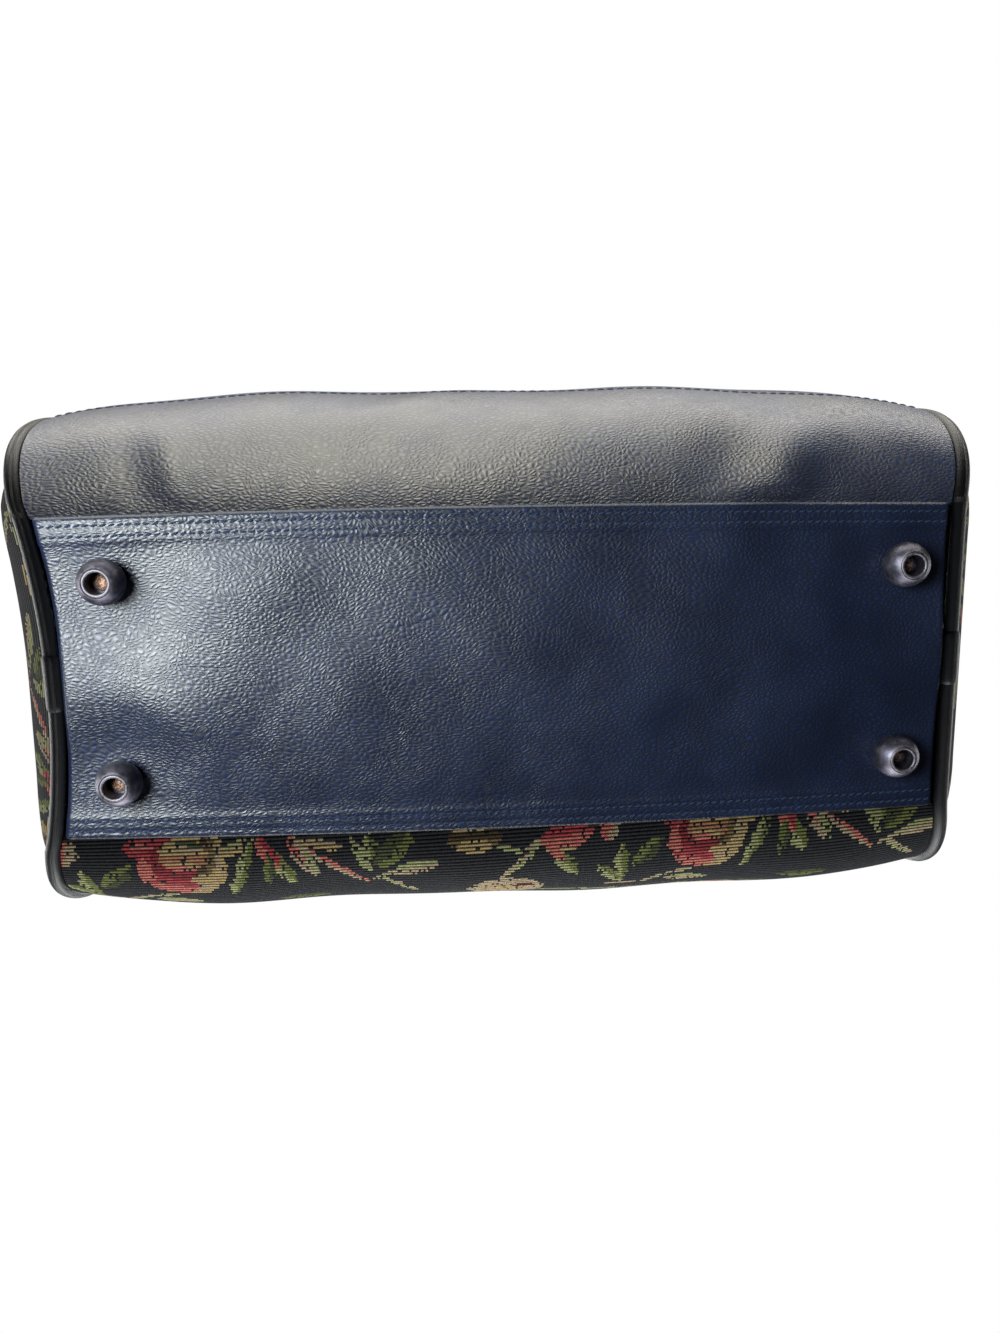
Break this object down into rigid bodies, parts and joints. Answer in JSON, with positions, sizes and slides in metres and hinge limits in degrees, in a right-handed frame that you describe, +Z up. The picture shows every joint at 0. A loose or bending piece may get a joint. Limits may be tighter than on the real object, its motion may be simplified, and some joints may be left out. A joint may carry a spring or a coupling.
{
  "type": "carpet bag",
  "caption": "Soft travel bag with floral tapestry walls, a navy leather base on hollow feet, leather piping round the ends, a zipped top and rolled handles.",
  "frame": {"origin": "on the floor under the middle of the base", "axes": "+X along the bag, -Y towards the tapestry front, +Y towards the leather back, +Z up"},
  "size_m": [0.4724, 0.2522, 0.3521],
  "materials": {
    "navy_leather": "pebbled, soft sheen",
    "piping_leather": "smooth, worn",
    "tapestry": "ribbed floral weave",
    "gunmetal": "satin, worn rim",
    "worn_rivet": "dull, brown",
    "steel": "plain",
    "fibreboard": "pressed board",
    "zip_tape": "woven",
    "zip_metal": "aged"
  },
  "bodies": {
    "bag": {"base_panel": "navy_leather", "base_board": "fibreboard", "foot_front_left": "gunmetal", "foot_front_right": "gunmetal", "foot_back_left": "gunmetal", "foot_back_right": "gunmetal", "foot_rivets": "worn_rivet", "rivet_washers": "steel", "front_panel": "tapestry", "back_lower_panel": "navy_leather", "back_upper_panel": "tapestry", "end_panel_left": "tapestry", "end_panel_right": "tapestry", "piping_left": "piping_leather", "piping_right": "piping_leather", "piping_sleeve_left": "piping_leather", "piping_sleeve_right": "piping_leather", "zip_tape_front": "zip_tape", "zip_tape_back": "zip_tape", "zip_teeth_front": "zip_metal", "zip_teeth_back": "zip_metal", "zip_stops": "zip_metal", "handle_patches": "navy_leather", "handle_front": "navy_leather", "handle_back": "navy_leather"},
    "slider": {"zip_slider": "zip_metal"},
    "pull": {"zip_pull": "zip_metal"}
  },
  "joints": [
    {"name": "slider_travel", "type": "slide", "parent": "bag", "child": "slider", "axis": [-1, 0, 0], "range_m": [0, 0.345]},
    {"name": "pull_hinge", "type": "hinge", "parent": "slider", "child": "pull", "pos_m": [0.18495, 0, 0.2647], "axis": [0, 1, 0], "range_deg": [0, 150]}
  ]
}
